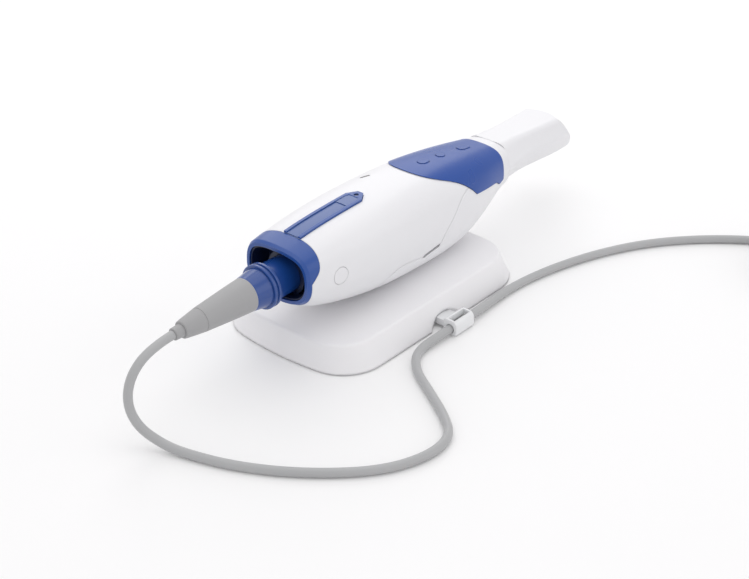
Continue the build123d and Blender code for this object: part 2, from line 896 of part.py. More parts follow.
# Main board on four posts over the chassis, with its parts
board_low = chassis_top + board_lift
board_centre_x = plug_x + frame_thickness + board_length / 2
post_half_x = board_length / 2 - 6
with BuildPart() as main_board:
    with BuildSketch(Plane.XY.offset(board_low)):
        with Locations((board_centre_x, 0)):
            RectangleRounded(board_length, board_width, 2)
    extrude(amount=board_thickness)
save(main_board, "main_board")

with BuildPart() as board_posts:
    with BuildSketch(Plane.XY.offset(chassis_top)):
        with Locations((board_centre_x, 0)):
            with GridLocations(2 * post_half_x, chassis_width - 6, 2, 2):
                Circle(post_radius)
    extrude(amount=board_lift)
save(board_posts, "board_posts")

with BuildPart() as board_chips:
    with BuildSketch(Plane.XY.offset(board_low + board_thickness)):
        with Locations((board_centre_x + 14, 0)):
            Rectangle(processor_size, processor_size)
        with Locations((board_centre_x - 6, 4), (board_centre_x - 6, -5)):
            Rectangle(*memory_size)
    extrude(amount=chip_height)
    with BuildSketch(Plane.XY.offset(board_low + board_thickness)):
        with Locations((board_centre_x - 27, 0)):
            Rectangle(*connector_size)
    extrude(amount=connector_height)
save(board_chips, "board_chips")

# Heat sink with fins under the chassis
sink_centre_x = chassis_rear_x + chassis_length * 0.55
with BuildPart() as heat_sink:
    with BuildSketch(Plane.XY.offset(chassis_top - chassis_thickness)):
        with Locations((sink_centre_x, 0)):
            Rectangle(sink_length, chassis_width + 2)
    extrude(amount=-sink_base_thickness)
    with BuildSketch(Plane.XY.offset(chassis_top - chassis_thickness - sink_base_thickness)):
        with Locations((sink_centre_x, 0)):
            with GridLocations(0, (chassis_width + 2 - sink_fin_thickness) / (sink_fins - 1), 1, sink_fins):
                Rectangle(sink_length, sink_fin_thickness)
    extrude(amount=sink_base_thickness - sink_fin_height)
save(heat_sink, "heat_sink")

# Optics block: camera and projector housing, with the camera board behind it
optics_front_x = nose_x - optics_setback
optics_rear_x = optics_front_x - optics_length
with BuildPart() as optics_block:
    with BuildSketch(Plane.YZ.offset(optics_rear_x)):
        with Locations((0, snout_axis_z)):
            RectangleRounded(optics_width, optics_height, 2)
    extrude(amount=optics_length)
    with BuildSketch(Plane.YZ.offset(optics_front_x)):
        with Locations((0, snout_axis_z)):
            Circle(lens_radius + lens_collar)
    extrude(amount=optics_neck)
save(optics_block, "optics_block")

with BuildPart() as camera_board:
    with BuildSketch(Plane.YZ.offset(optics_rear_x)):
        with Locations((0, snout_axis_z + 0.6)):
            RectangleRounded(optics_width - 3, optics_height - 3, 1)
    extrude(amount=-board_thickness)
save(camera_board, "camera_board")

# Snout: the fixed tube that the scanning tip slides on, with its front lens
snout_rear_x = nose_x - snout_root
snout_front_x = nose_x + snout_length
with BuildPart() as snout:
    with BuildSketch(Plane.YZ.offset(snout_rear_x)):
        add(snout_plan(0))
    extrude(amount=snout_front_x - snout_rear_x)
    with BuildSketch(Plane.YZ.offset(snout_rear_x)):
        add(snout_plan(-snout_wall))
    extrude(amount=snout_front_x - snout_rear_x - snout_wall, mode=Mode.SUBTRACT)
    with BuildSketch(Plane.YZ.offset(snout_rear_x)):
        with Locations((0, snout_axis_z)):
            Circle(lens_radius + 0.05)
    extrude(amount=snout_front_x - snout_rear_x, mode=Mode.SUBTRACT)
    with BuildSketch(Plane.YZ.offset(snout_rear_x)):
        with Locations((0, snout_axis_z)):
            Rectangle(snout_width + 4, snout_height + 3)
        add(snout_plan(-snout_wall), mode=Mode.SUBTRACT)
    extrude(amount=snout_flange)
save(snout, "snout")

with BuildPart() as front_lens:
    with BuildSketch(Plane.YZ.offset(snout_front_x - lens_thickness)):
        with Locations((0, snout_axis_z)):
            Circle(lens_radius)
    extrude(amount=lens_thickness - 0.3)
save(front_lens, "front_lens")

# Scanning tip: a six-sided sleeve with a sloped, rounded end, a mirror and a window
tip_root_x = nose_x + tip_clearance
tip_end_x = tip_root_x + tip_length
tip_top = belly_z + handle_form[-1][2] * handle_height
tip_root_low = belly_z + handle_form[-1][3] * handle_height
root_half = handle_form[-1][1] * handle_width / 2


def tip_section(x, half, top, low, crease, corner, shrink):
    """One six-sided section of the tip, set in all round by the wall."""
    waist = (top + low) / 2
    with BuildSketch(Plane.YZ.offset(x), mode=Mode.PRIVATE) as section:
        with BuildLine():
            Polyline(
                (-crease + shrink * 0.6, top - shrink),
                (-half + shrink, waist),
                (-crease * 0.72 + shrink * 0.6, low + shrink),
                (crease * 0.72 - shrink * 0.6, low + shrink),
                (half - shrink, waist),
                (crease - shrink * 0.6, top - shrink),
                close=True,
            )
        make_face()
        fillet(section.vertices(), radius=max(corner - shrink, 0.4))
    return section.sketch.face()


def tip_bar(shrink):
    """The tip's long form, from its root past its end."""
    low = tip_top - tip_top_drop - tip_height
    rows = (
        (0.0, root_half, tip_top, tip_root_low, root_half * 0.72, 5.0),
        (0.18, tip_half_width * 1.08, tip_top - tip_top_drop * 0.5, low - 0.5, tip_half_width * 0.74, 3.4),
        (0.42, tip_half_width * 1.01, tip_top - tip_top_drop, low, tip_half_width * 0.77, 2.6),
        (1.05, tip_half_width, tip_top - tip_top_drop, low, tip_half_width * 0.84, 2.2),
    )
    with BuildPart(mode=Mode.PRIVATE) as bar:
        loft(
            sections=[
                tip_section(tip_root_x + share * tip_length, *sizes, shrink)
                for share, *sizes in rows
            ],
        )
    return bar.part


def tip_nose():
    """Rounded plan of the tip, smaller towards the top, where the end slopes back."""
    low = tip_top - tip_top_drop - tip_height
    rows = ((2.0, 17.5), (-0.6, 14.6), (-6.0, 7.8), (-11.5, 2.5), (-16.0, 0.0), (-23.0, 1.2))
    sections = []
    for rise, setback in rows:
        end_x = tip_end_x - setback
        round_x = end_x - tip_end_round
        with BuildSketch(Plane.XY.offset(tip_top + rise), mode=Mode.PRIVATE) as plan:
            with BuildLine():
                side = tip_half_width * 1.25
                Line((tip_root_x - 5, -side), (round_x, -side))
                ThreePointArc((round_x, -side), (end_x, 0), (round_x, side))
                Line((round_x, side), (tip_root_x - 5, side))
                Line((tip_root_x - 5, side), (tip_root_x - 5, -side))
            make_face()
        sections.append(plan.sketch.face())
    with BuildPart(mode=Mode.PRIVATE) as nose:
        loft(sections=sections)
    return nose.part


tip_low = tip_top - tip_top_drop - tip_height
mirror_sum = tip_end_x + tip_top - mirror_setback
mirror_plane = Plane(
    origin=(mirror_sum - snout_axis_z, 0, snout_axis_z),
    x_dir=(0, 1, 0),
    z_dir=(-1, 0, -1),
)
guide_end_x = tip_root_x + guide_length
cavity_end_x = tip_end_x - tip_end_wall
tip_window_x = cavity_end_x - tip_window_length / 2
with BuildPart() as behind_mirror:
    with BuildSketch(mirror_plane):
        Rectangle(100, 100)
    extrude(amount=100)
cavity_span = box_between((guide_end_x, -side_reach, 0), (cavity_end_x, side_reach, above + side_reach))
with BuildPart() as scanning_tip:
    add(tip_bar(0) & tip_nose())
    add(tip_bar(tip_wall) & behind_mirror.part & cavity_span, mode=Mode.SUBTRACT)
    with BuildSketch(Plane.YZ.offset(tip_root_x - 1)):
        add(snout_plan(snout_clearance))
    extrude(amount=guide_length + 2, mode=Mode.SUBTRACT)
    with BuildSketch(Plane.XY.offset(tip_low - 4)):
        with Locations((tip_window_x, 0)):
            RectangleRounded(tip_window_length, tip_window_width, 2.5)
    extrude(amount=4 + tip_wall + 2, mode=Mode.SUBTRACT)
save(scanning_tip, "scanning_tip")

with BuildPart() as tip_mirror:
    with BuildSketch(mirror_plane.offset(0.02)):
        with Locations((0, mirror_shift)):
            RectangleRounded(mirror_width, mirror_height, 2)
    extrude(amount=tip_mirror_thickness)
save(tip_mirror, "tip_mirror")


# Cord set: plug body, ring, two-stage cone and sleeve, all turned about the cord's axis
def turned(*profile):
    """A solid turned about the cord's axis from points of X and radius."""
    with BuildPart(mode=Mode.PRIVATE) as solid:
        with BuildSketch(Plane.XZ):
            with BuildLine():
                Polyline(*[(x, cable_axis_z + r) for x, r in profile], close=True)
            make_face()
        revolve(axis=Axis((0, 0, cable_axis_z), (1, 0, 0)))
    return solid.part


plug_front_x = bay_floor_x - contact_length - 0.3
ring_front_x = collar_back_x - ring_setback
ring_rear_x = ring_front_x - ring_width
band_rear_x = ring_rear_x - band_length
cone_seam_x = band_rear_x - cone_length
tail_end_x = cone_seam_x - cone_tail_length
sleeve_end_x = tail_end_x - sleeve_length
with BuildPart() as plug_body:
    add(
        turned(
            (plug_front_x, 0),
            (plug_front_x, plug_radius - 0.5),
            (plug_front_x - 0.5, plug_radius),
            (ring_front_x, plug_radius),
            (ring_front_x, ring_seat_radius),
            (ring_rear_x, ring_seat_radius),
            (ring_rear_x, band_radius),
            (band_rear_x, cone_front_radius),
            (band_rear_x, 0),
        ),
    )
save(plug_body, "plug_body")

with BuildPart() as plug_ring:
    add(
        turned(
            (ring_front_x - 0.05, ring_seat_radius + 0.05),
            (ring_front_x - 0.05, ring_radius - 0.3),
            (ring_front_x - 0.35, ring_radius),
            (ring_front_x - ring_width * 0.36, ring_radius),
            (ring_front_x - ring_width * 0.44, ring_radius - 0.8),
            (ring_front_x - ring_width * 0.60, ring_radius - 0.8),
            (ring_front_x - ring_width * 0.68, ring_radius),
            (ring_rear_x + 0.35, ring_radius),
            (ring_rear_x + 0.05, ring_radius - 0.3),
            (ring_rear_x + 0.05, ring_seat_radius + 0.05),
        ),
    )
save(plug_ring, "plug_ring")

with BuildPart() as cable_cone:
    add(
        turned(
            (band_rear_x, 0),
            (band_rear_x, cone_front_radius),
            (band_rear_x - cone_length * 0.28, cone_front_radius * 0.93),
            (cone_seam_x + 0.3, cone_mid_radius),
            (cone_seam_x, cone_mid_radius - 0.3),
            (cone_seam_x, 0),
        ),
    )
save(cable_cone, "cable_cone")

with BuildPart() as cone_tail:
    add(
        turned(
            (cone_seam_x, 0),
            (cone_seam_x, cone_mid_radius - 0.3),
            (cone_seam_x - 0.3, cone_mid_radius - 0.1),
            (tail_end_x + 1.6, cone_end_radius + 0.25),
            (tail_end_x + 0.4, cone_end_radius),
            (tail_end_x, cone_end_radius - 0.4),
            (tail_end_x, 0),
        ),
    )
save(cone_tail, "cone_tail")

with BuildPart() as cord_sleeve:
    add(
        turned(
            (tail_end_x, 0),
            (tail_end_x, sleeve_radius + 0.2),
            (sleeve_end_x + 0.3, sleeve_radius),
            (sleeve_end_x, sleeve_radius - 0.3),
            (sleeve_end_x, 0),
        ),
    )
save(cord_sleeve, "cord_sleeve")


# Cord: the route as it lies, then a coil of the length that is left, then the tail
def tube(name, points, radius):
    """A plain round tube along straight runs joined by tangent arcs."""
    vectors = [Vector(*point) for point in points]
    runs = [b - a for a, b in zip(vectors, vectors[1:])]
    radii = []
    for first, second in zip(runs, runs[1:]):
        turn = radians(first.get_angle(second))
        radii.append(0.45 * min(first.length, second.length) / tan(turn / 2))
    with BuildPart() as solid:
        with BuildLine():
            path = FilletPolyline(*vectors, radius=radii)
        with BuildSketch(Plane(origin=path @ 0, z_dir=path % 0)):
            Circle(radius)
        sweep()
    expected = pi * radius**2 * path.length
    print(name, "radii", [round(value, 1) for value in radii])
    print(name, "length", round(path.length, 1), "volume share", round(solid.part.volume / expected, 4))
    return solid


cord_floor = cord_radius
coil_x = 158.3
coil_y = -152.3
coil_outer_turn = coil_radius + (coil_columns - 1) * coil_pitch / 2
far_plug_x = coil_x + coil_outer_turn + 34.6
far_plug_y = coil_y + 1.0
far_plug_z = far_grip_height / 2
cord_route = (
    (sleeve_end_x, 0, cable_axis_z),
    (-136.0, 0, 37.6),
    (-147.2, -0.4, 31.4),
    (-152.4, -2.2, 21.6),
    (-151.0, -5.8, 11.0),
    (-146.2, -13.2, 3.6),
    (-143.4, -24.0, cord_floor),
    (-136.0, -46.0, cord_floor),
    (-122.0, -69.0, cord_floor),
    (-102.0, -90.0, cord_floor),
    (-82.0, -98.5, cord_floor),
    (-66.0, -97.0, cord_floor),
    (-56.5, -86.5, cord_floor),
    (-46.5, -70.5, cord_floor),
    (-38.0, -56.0, cord_floor),
    (-27.0, -46.9, cord_floor + 0.2),
    (-12.0, clip_cord_y, clip_axis_z),
    (18.0, clip_cord_y, clip_axis_z),
    (46.0, -45.0, cord_floor),
    (74.0, -49.5, cord_floor),
    (102.0, -58.5, cord_floor),
    (128.0, -72.5, cord_floor),
    (152.0, -95.0, cord_floor),
    (168.0, -120.0, cord_floor + 0.3),
    (coil_x + 0.8 * coil_outer_turn, coil_y + 0.6 * coil_outer_turn, coil_lift + cord_floor),
)
cord_tail_route = (
    (coil_x + coil_outer_turn, coil_y + 2.0, coil_lift + cord_floor),
    (coil_x + coil_outer_turn + 0.3, coil_y - 13.5, cord_floor + 0.3),
    (coil_x + coil_outer_turn + 10.0, coil_y - 23.6, cord_floor),
    (coil_x + coil_outer_turn + 24.0, coil_y - 23.8, cord_floor),
    (coil_x + coil_outer_turn + 34.0, coil_y - 13.8, cord_floor + 0.8),
    (far_plug_x, far_plug_y, far_plug_z),
)
cord = tube("cord", cord_route, cord_radius)
save(cord, "cord")
cord_tail = tube("cord_tail", cord_tail_route, cord_radius)
save(cord_tail, "cord_tail")


def coil_ring(grow):
    """The ring that the coil's turns fill, grown all round."""
    half_wide = (coil_columns - 1) * coil_pitch / 2 + cord_radius + grow
    half_high = (coil_layers - 1) * coil_pitch / 2 + cord_radius + grow
    with BuildPart(mode=Mode.PRIVATE) as ring:
        with BuildSketch(Plane.XZ):
            with Locations((coil_radius, 0)):
                RectangleRounded(2 * half_wide, 2 * half_high, cord_radius * 0.8 + grow)
        revolve(axis=Axis.Z)
    return Pos(coil_x, coil_y, coil_lift + half_high - grow) * ring.part


with BuildPart() as cord_coil:
    add(coil_ring(0))
save(cord_coil, "cord_coil")

# Band that ties the coil
with BuildPart() as coil_tie:
    add(
        (coil_ring(tie_gap + tie_thickness) - coil_ring(tie_gap))
        & box_between(
            (coil_x - 1.5 * coil_radius, coil_y - tie_width / 2, 0),
            (coil_x - coil_radius / 2, coil_y + tie_width / 2, above),
        ),
    )
save(coil_tie, "coil_tie")

# Far end plug: a moulded grip with a flat metal shell
far_plane = Plane(origin=(far_plug_x, far_plug_y, far_plug_z), x_dir=(1, 0, 0), z_dir=(0, 1, 0))
with BuildPart() as far_boot:
    with BuildSketch(far_plane):
        Circle(cord_radius + 0.9)
    with BuildSketch(far_plane.offset(far_boot_length)):
        RectangleRounded(far_grip_width * 0.55, far_grip_height * 0.8, 2)
    loft()
save(far_boot, "far_plug_boot")

with BuildPart() as far_grip:
    with BuildSketch(far_plane.offset(far_boot_length)):
        RectangleRounded(far_grip_width, far_grip_height, 2)
    extrude(amount=far_grip_length)
    fillet(faces().sort_by(Axis.Y)[-1].edges(), radius=0.8)
    fillet(faces().sort_by(Axis.Y)[0].edges(), radius=1.2)
save(far_grip, "far_plug_grip")

with BuildPart() as far_shell:
    with BuildSketch(far_plane.offset(far_boot_length + far_grip_length)):
        Rectangle(far_shell_width, far_shell_height)
        offset(amount=-far_shell_wall, mode=Mode.SUBTRACT)
    extrude(amount=far_shell_length)
save(far_shell, "far_plug_shell")

with BuildPart() as far_tongue:
    with BuildSketch(far_plane.offset(far_boot_length + far_grip_length)):
        with Locations((0, far_shell_height * 0.18)):
            Rectangle(far_shell_width - 2 * far_shell_wall - 0.2, far_shell_height * 0.38)
    extrude(amount=far_shell_length - 0.8)
save(far_tongue, "far_plug_tongue")

print(len(finished), "pieces written")
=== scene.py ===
# The looks of an intraoral scanner that lies on its weighted stand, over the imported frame.
# Metres, +Z up, +X towards the scanning tip, the stand's centre on the floor at the origin.

import math

import bmesh
import bpy
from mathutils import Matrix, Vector


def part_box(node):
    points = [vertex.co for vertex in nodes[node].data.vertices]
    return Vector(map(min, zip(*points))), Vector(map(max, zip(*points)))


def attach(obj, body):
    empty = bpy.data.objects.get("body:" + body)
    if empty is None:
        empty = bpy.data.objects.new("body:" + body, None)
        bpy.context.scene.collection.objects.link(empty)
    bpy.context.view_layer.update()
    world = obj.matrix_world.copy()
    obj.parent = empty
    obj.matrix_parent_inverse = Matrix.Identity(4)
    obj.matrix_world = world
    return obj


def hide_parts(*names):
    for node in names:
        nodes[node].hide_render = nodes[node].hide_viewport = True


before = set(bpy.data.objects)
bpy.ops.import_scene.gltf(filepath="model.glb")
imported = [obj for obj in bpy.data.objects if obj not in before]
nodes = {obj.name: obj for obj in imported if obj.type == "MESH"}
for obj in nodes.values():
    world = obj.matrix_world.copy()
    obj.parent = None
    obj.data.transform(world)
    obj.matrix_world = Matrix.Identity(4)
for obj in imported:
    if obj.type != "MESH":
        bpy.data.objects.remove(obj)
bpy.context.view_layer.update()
scanner = "scanner_on_stand"

# Camera: the photograph's viewpoint, some 30 degrees above the table and on the near side of
# the cord end. It was solved from the stand's corners and the handle's outline.
view_direction = Vector((0.65317, 0.56142, -0.50812))
camera_data = bpy.data.cameras.new("camera")
camera_data.lens = 72.83
camera_data.clip_start = 0.01
camera = bpy.data.objects.new("camera", camera_data)
camera.location = (-0.4608, -0.3960, 0.3623)
camera.rotation_euler = view_direction.to_track_quat("-Z", "Y").to_euler()
bpy.context.scene.collection.objects.link(camera)
bpy.context.scene.camera = camera
bpy.context.scene.view_settings.view_transform = "Standard"

# Cord: a limp 4 mm cable with an extruded soft grey jacket. It drops from the strain relief to
# the table, lies in one open loop, runs through the stand's clip and off to the right, where
# the length that isn't seen is wound into a neat coil of nine turns with its plug beside it.
cord_radius = 0.002
cord_route = [
    (-0.1240, 0.0, 0.0383),
    (-0.1360, 0.0, 0.0376),
    (-0.1472, -0.0004, 0.0314),
    (-0.1524, -0.0022, 0.0216),
    (-0.1510, -0.0058, 0.0110),
    (-0.1462, -0.0132, 0.0036),
    (-0.1434, -0.0240, cord_radius),
    (-0.1360, -0.0460, cord_radius),
    (-0.1220, -0.0690, cord_radius),
    (-0.1020, -0.0900, cord_radius),
    (-0.0820, -0.0985, cord_radius),
    (-0.0660, -0.0970, cord_radius),
    (-0.0565, -0.0865, cord_radius),
    (-0.0465, -0.0705, cord_radius),
    (-0.0380, -0.0560, cord_radius),
    (-0.0270, -0.0469, 0.0022),
    (-0.0120, -0.0473, 0.00325),
    (0.0180, -0.0473, 0.00325),
    (0.0460, -0.0450, cord_radius),
    (0.0740, -0.0495, cord_radius),
    (0.1020, -0.0585, cord_radius),
    (0.1280, -0.0725, cord_radius),
    (0.1520, -0.0950, cord_radius),
    (0.1680, -0.1200, 0.0023),
]

# The coil winds inwards along its lowest layer and back out through the upper two
coil_centre = Vector((0.1583, -0.1523))
coil_middle_radius = 0.023
coil_pitch = 0.00415
coil_low = 0.0029
coil_order = [(1, 0), (0, 0), (-1, 0), (-1, 1), (-1, 2), (0, 2), (0, 1), (1, 1), (1, 2)]
coil_steps = 20
coil_entry_angle = math.atan2(0.6, 0.8)
coil_share = 1.006
for step in range(len(coil_order) * coil_steps + 2):
    turn, part = divmod(step, coil_steps)
    here = coil_order[min(turn, len(coil_order) - 1)]
    after = coil_order[min(turn + 1, len(coil_order) - 1)]
    change = max(0.0, part / coil_steps * 4 - 3)
    column = here[0] + (after[0] - here[0]) * change
    layer = here[1] + (after[1] - here[1]) * change
    angle = coil_entry_angle - 2 * math.pi * step / coil_steps
    reach = (coil_middle_radius + column * coil_pitch) * coil_share
    cord_route.append(
        (
            coil_centre.x + reach * math.cos(angle),
            coil_centre.y + reach * math.sin(angle),
            coil_low + layer * coil_pitch,
        )
    )
coil_edge = coil_centre.x + coil_middle_radius + coil_pitch
cord_route += [
    (coil_edge + 0.0003, -0.1658, 0.0080),
    (coil_edge + 0.0090, -0.1768, 0.0036),
    (coil_edge + 0.0220, -0.1778, cord_radius),
    (coil_edge + 0.0338, -0.1658, 0.0026),
    (coil_edge + 0.0346, -0.1513, 0.0040),
]
cord_curve = bpy.data.curves.new("cord_line", "CURVE")
cord_curve.dimensions = "3D"
cord_curve.resolution_u = 8
cord_curve.bevel_depth = 1.0
cord_curve.bevel_resolution = 4
cord_curve.use_fill_caps = True
cord_spline = cord_curve.splines.new("NURBS")
cord_spline.points.add(len(cord_route) - 1)
for point, place in zip(cord_spline.points, cord_route):
    point.co = (*place, 1)
    point.radius = cord_radius
cord_spline.order_u = 3
cord_spline.use_endpoint_u = True


def put_in_scene(piece, body=scanner):
    """Put a finished piece in the scene and let it ride on its body."""
    bpy.context.scene.collection.objects.link(piece)
    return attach(piece, body)


def group_socket(group, name, kind, value=None, inward=True):
    """Name an input or an output of a node group, with its usual value."""
    side = "INPUT" if inward else "OUTPUT"
    socket = group.interface.new_socket(name=name, in_out=side, socket_type=kind)
    if value is not None:
        socket.default_value = value


def make_moulded_skin():
    """Skin of a moulding: slow tone, fine grain, a mask of its edges for wear and a painted edge highlight,
    rounded normals.
    """
    group = bpy.data.node_groups.new("moulded_skin", "ShaderNodeTree")
    group_socket(group, "Scale", "NodeSocketFloat", 900.0)
    group_socket(group, "Depth", "NodeSocketFloat", 0.05)
    group_socket(group, "Edge", "NodeSocketFloat", 0.0004)
    for name in ("Tone", "Grain", "Edges"):
        group_socket(group, name, "NodeSocketFloat", inward=False)
    group_socket(group, "Normal", "NodeSocketVector", inward=False)
    tree = group.nodes
    wire = group.links.new
    entry = tree.new("NodeGroupInput")
    leave = tree.new("NodeGroupOutput")
    place = tree.new("ShaderNodeTexCoord")
    surface = tree.new("ShaderNodeNewGeometry")
    slow = tree.new("ShaderNodeTexNoise")
    slow.inputs["Scale"].default_value = 26.0
    slow.inputs["Detail"].default_value = 3.0
    fine = tree.new("ShaderNodeTexNoise")
    fine.inputs["Detail"].default_value = 3.0
    edge = tree.new("ShaderNodeBevel")
    edge.samples = 4
    likeness = tree.new("ShaderNodeVectorMath")
    likeness.operation = "DOT_PRODUCT"
    # Mask of the edges, used for wear and for a painted highlight along the rims.
    edges = tree.new("ShaderNodeMapRange")
    edges.inputs["From Min"].default_value = 0.995
    edges.inputs["From Max"].default_value = 0.80
    bump = tree.new("ShaderNodeBump")
    bump.inputs["Distance"].default_value = 0.0002
    wire(place.outputs["Object"], slow.inputs["Vector"])
    wire(place.outputs["Object"], fine.inputs["Vector"])
    wire(entry.outputs["Scale"], fine.inputs["Scale"])
    wire(entry.outputs["Edge"], edge.inputs["Radius"])
    wire(entry.outputs["Depth"], bump.inputs["Strength"])
    wire(surface.outputs["Normal"], likeness.inputs[0])
    wire(edge.outputs["Normal"], likeness.inputs[1])
    wire(likeness.outputs["Value"], edges.inputs["Value"])
    wire(fine.outputs["Fac"], bump.inputs["Height"])
    wire(edge.outputs["Normal"], bump.inputs["Normal"])
    wire(slow.outputs["Fac"], leave.inputs["Tone"])
    wire(fine.outputs["Fac"], leave.inputs["Grain"])
    wire(edges.outputs["Result"], leave.inputs["Edges"])
    wire(bump.outputs["Normal"], leave.inputs["Normal"])
    return group


moulded_skin = make_moulded_skin()


def moulding(name, dark, light, wear_and_highlight, rough, grain=900.0, depth=0.05, edge=0.0004):
    """A moulded material: two near tones, paler edges that are partly wear and partly a painted highlight,
    handled gloss, a fine grain.
    """
    material = bpy.data.materials.new(name)
    material.use_nodes = True
    tree = material.node_tree.nodes
    wire = material.node_tree.links.new
    shader = tree["Principled BSDF"]
    skin = tree.new("ShaderNodeGroup")
    skin.node_tree = moulded_skin
    skin.inputs["Scale"].default_value = grain
    skin.inputs["Depth"].default_value = depth
    skin.inputs["Edge"].default_value = edge
    tones = tree.new("ShaderNodeMix")
    tones.data_type = "RGBA"
    tones.inputs["A"].default_value = (*dark, 1)
    tones.inputs["B"].default_value = (*light, 1)
    # The edges turn paler: partly wear, partly a painted highlight where the rims would catch the light.
    edge_wear_and_highlight = tree.new("ShaderNodeMix")
    edge_wear_and_highlight.data_type = "RGBA"
    edge_wear_and_highlight.inputs["B"].default_value = (*wear_and_highlight, 1)
    gloss = tree.new("ShaderNodeMapRange")
    gloss.inputs["From Min"].default_value = 0.3
    gloss.inputs["From Max"].default_value = 0.7
    gloss.inputs["To Min"].default_value = rough - 0.04
    gloss.inputs["To Max"].default_value = rough + 0.06
    wire(skin.outputs["Tone"], tones.inputs["Factor"])
    wire(tones.outputs["Result"], edge_wear_and_highlight.inputs["A"])
    wire(skin.outputs["Edges"], edge_wear_and_highlight.inputs["Factor"])
    wire(edge_wear_and_highlight.outputs["Result"], shader.inputs["Base Color"])
    wire(skin.outputs["Tone"], gloss.inputs["Value"])
    wire(gloss.outputs["Result"], shader.inputs["Roughness"])
    wire(skin.outputs["Normal"], shader.inputs["Normal"])
    shader.inputs["Coat Roughness"].default_value = 0.12
    return material


def set_shader(material, **values):
    """Set plain values on a material's own shader, such as coat_weight or metallic."""
    shader = material.node_tree.nodes["Principled BSDF"]
    for name, value in values.items():
        shader.inputs[name.replace("_", " ").title().replace("Ior", "IOR")].default_value = value


cord_jacket = moulding(
    "cord_jacket", (0.40, 0.405, 0.41), (0.46, 0.465, 0.47), (0.46, 0.465, 0.47), 0.38, grain=2600, edge=0
)
set_shader(cord_jacket, sheen_weight=0.08)
cord_curve.materials.append(cord_jacket)
cord_line = put_in_scene(bpy.data.objects.new("cord_line", cord_curve))
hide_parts("cord", "cord_coil", "cord_tail")


# Strain relief: a long cone in two stages and a short sleeve, moulded over the cord's end
# from a soft grey elastomer with a fine matt skin.
def dress(material, *names, crease=28):
    """Give the frame's own pieces a material and smooth shading with crisp edges."""
    for name in names:
        mesh = nodes[name].data
        mesh.materials.clear()
        mesh.materials.append(material)
        mesh.shade_smooth()
        mesh.set_sharp_from_angle(angle=math.radians(crease))


relief_grey = (0.345, 0.345, 0.35)
relief_pale = (0.395, 0.395, 0.40)
relief_rubber = moulding(
    "relief_rubber", relief_grey, relief_pale, (0.47, 0.47, 0.475), 0.50, grain=2200
)
set_shader(relief_rubber, sheen_weight=0.08)
dress(relief_rubber, "cable_cone", "cone_tail", "cord_sleeve")

# Plug and its ring: turned, hard blue moulding that pushes into the handle's socket. The
# ring in two ribs is what the fingers pull on.
# The blue mouldings' much paler edge colours are mostly a painted highlight on their rims, with a little wear.
plug_blue = moulding("plug_blue", (0.008, 0.052, 0.25), (0.012, 0.064, 0.29), (0.05, 0.13, 0.42), 0.26)
set_shader(plug_blue, coat_weight=0.45)
dress(plug_blue, "plug_body", "plug_ring")

# Coil tie: a soft woven strap around the coil's turns, closed on itself. Its two sets of
# threads cross a millimetre apart.
strap_grey = moulding(
    "strap_grey", (0.11, 0.11, 0.115), (0.15, 0.15, 0.155), (0.2, 0.2, 0.2), 0.8, edge=0.0003
)
thread_pitch = 0.001
wave_turns = 20
weave_nodes = strap_grey.node_tree.nodes
weave_wire = strap_grey.node_tree.links.new
weave_place = weave_nodes.new("ShaderNodeTexCoord")
crossing = weave_nodes.new("ShaderNodeMath")
crossing.operation = "MULTIPLY"
for number, direction in enumerate(("X", "Y")):
    threads = weave_nodes.new("ShaderNodeTexWave")
    threads.bands_direction = direction
    threads.inputs["Scale"].default_value = 2 * math.pi / (wave_turns * thread_pitch)
    weave_wire(weave_place.outputs["Object"], threads.inputs["Vector"])
    weave_wire(threads.outputs["Fac"], crossing.inputs[number])
woven = weave_nodes.new("ShaderNodeBump")
woven.inputs["Strength"].default_value = 0.6
woven.inputs["Distance"].default_value = 0.0003
weave_wire(crossing.outputs[0], woven.inputs["Height"])
weave_wire(woven.outputs["Normal"], weave_nodes["Principled BSDF"].inputs["Normal"])
dress(strap_grey, "coil_tie")

# Far plug: a flat data plug with a moulded grip, a soft boot and a folded steel shell round
# its dark tongue. Half-round ribs cross the top of the grip, where the thumb pulls.
grip_grey = moulding("grip_grey", (0.26, 0.265, 0.27), (0.30, 0.305, 0.31), (0.38, 0.38, 0.39), 0.45)
plated_steel = moulding(
    "plated_steel", (0.52, 0.53, 0.55), (0.60, 0.61, 0.62), (0.70, 0.71, 0.72), 0.28, edge=0.0002
)
set_shader(plated_steel, metallic=1.0)
chip_black = moulding("chip_black", (0.012, 0.012, 0.014), (0.02, 0.02, 0.022), (0.06, 0.06, 0.06), 0.4)
dress(grip_grey, "far_plug_grip")
dress(relief_rubber, "far_plug_boot")
dress(plated_steel, "far_plug_shell")
dress(chip_black, "far_plug_tongue")
grip_low, grip_high = (Vector(corner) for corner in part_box("far_plug_grip"))
rib_count = 6
rib_pitch = 0.0022
rib_radius = 0.0004
rib_margin = 0.0028


